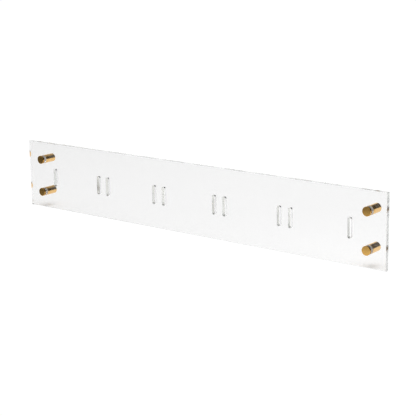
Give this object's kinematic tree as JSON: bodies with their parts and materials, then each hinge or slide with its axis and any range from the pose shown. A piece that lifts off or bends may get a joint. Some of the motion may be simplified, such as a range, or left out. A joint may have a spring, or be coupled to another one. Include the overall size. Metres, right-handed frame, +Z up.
{
  "type": "slotted wall panel",
  "caption": "Long clear acrylic panel with upright round-ended slots, held off a wall by polished brass standoffs whose caps unscrew.",
  "frame": {"origin": "on the wall plane, at the centre of the four wall screws", "axes": "+X along the panel, to the right seen from the front; +Y into the wall; +Z up"},
  "size_m": [0.635, 0.0286, 0.1016],
  "materials": {
    "clear_acrylic": "clear cast acrylic, polished faces and edges",
    "polished_brass": "polished",
    "turned_brass": "polished, with fine turning rings on the face",
    "plated_stud": "machined thread",
    "clear_vinyl": "soft clear vinyl, slightly milky"
  },
  "bodies": {
    "panel_on_wall": {"panel": "clear_acrylic", "barrel_top_left": "polished_brass", "barrel_bottom_left": "polished_brass", "barrel_top_right": "polished_brass", "barrel_bottom_right": "polished_brass", "rear_washer_top_left": "clear_vinyl", "rear_washer_bottom_left": "clear_vinyl", "rear_washer_top_right": "clear_vinyl", "rear_washer_bottom_right": "clear_vinyl"},
    "washer_top_left": {"front_washer_top_left": "clear_vinyl"},
    "cap_top_left": {"cap_top_left": "turned_brass", "stud_top_left": "plated_stud"},
    "washer_bottom_left": {"front_washer_bottom_left": "clear_vinyl"},
    "cap_bottom_left": {"cap_bottom_left": "turned_brass", "stud_bottom_left": "plated_stud"},
    "washer_top_right": {"front_washer_top_right": "clear_vinyl"},
    "cap_top_right": {"cap_top_right": "turned_brass", "stud_top_right": "plated_stud"},
    "washer_bottom_right": {"front_washer_bottom_right": "clear_vinyl"},
    "cap_bottom_right": {"cap_bottom_right": "turned_brass", "stud_bottom_right": "plated_stud"}
  },
  "joints": [
    {"name": "cap_top_left_turn", "type": "hinge", "parent": "washer_top_left", "child": "cap_top_left", "pos_m": [-0.2905, -0.0256, 0.0254], "axis": [0, -1, 0], "range_deg": [0, 2880]},
    {"name": "cap_top_left_travel", "type": "slide", "parent": "panel_on_wall", "child": "washer_top_left", "axis": [0, -1, 0], "range_m": [0, 0.01005]},
    {"name": "cap_bottom_left_turn", "type": "hinge", "parent": "washer_bottom_left", "child": "cap_bottom_left", "pos_m": [-0.2905, -0.0256, -0.0254], "axis": [0, -1, 0], "range_deg": [0, 2880]},
    {"name": "cap_bottom_left_travel", "type": "slide", "parent": "panel_on_wall", "child": "washer_bottom_left", "axis": [0, -1, 0], "range_m": [0, 0.01005]},
    {"name": "cap_top_right_turn", "type": "hinge", "parent": "washer_top_right", "child": "cap_top_right", "pos_m": [0.2905, -0.0256, 0.0254], "axis": [0, -1, 0], "range_deg": [0, 2880]},
    {"name": "cap_top_right_travel", "type": "slide", "parent": "panel_on_wall", "child": "washer_top_right", "axis": [0, -1, 0], "range_m": [0, 0.01005]},
    {"name": "cap_bottom_right_turn", "type": "hinge", "parent": "washer_bottom_right", "child": "cap_bottom_right", "pos_m": [0.2905, -0.0256, -0.0254], "axis": [0, -1, 0], "range_deg": [0, 2880]},
    {"name": "cap_bottom_right_travel", "type": "slide", "parent": "panel_on_wall", "child": "washer_bottom_right", "axis": [0, -1, 0], "range_m": [0, 0.01005]}
  ],
  "couplings": [
    {"joint": "cap_top_left_travel", "follows": "cap_top_left_turn", "m_per_rad": 0.00019894},
    {"joint": "cap_bottom_left_travel", "follows": "cap_bottom_left_turn", "m_per_rad": 0.00019894},
    {"joint": "cap_top_right_travel", "follows": "cap_top_right_turn", "m_per_rad": 0.00019894},
    {"joint": "cap_bottom_right_travel", "follows": "cap_bottom_right_turn", "m_per_rad": 0.00019894}
  ]
}
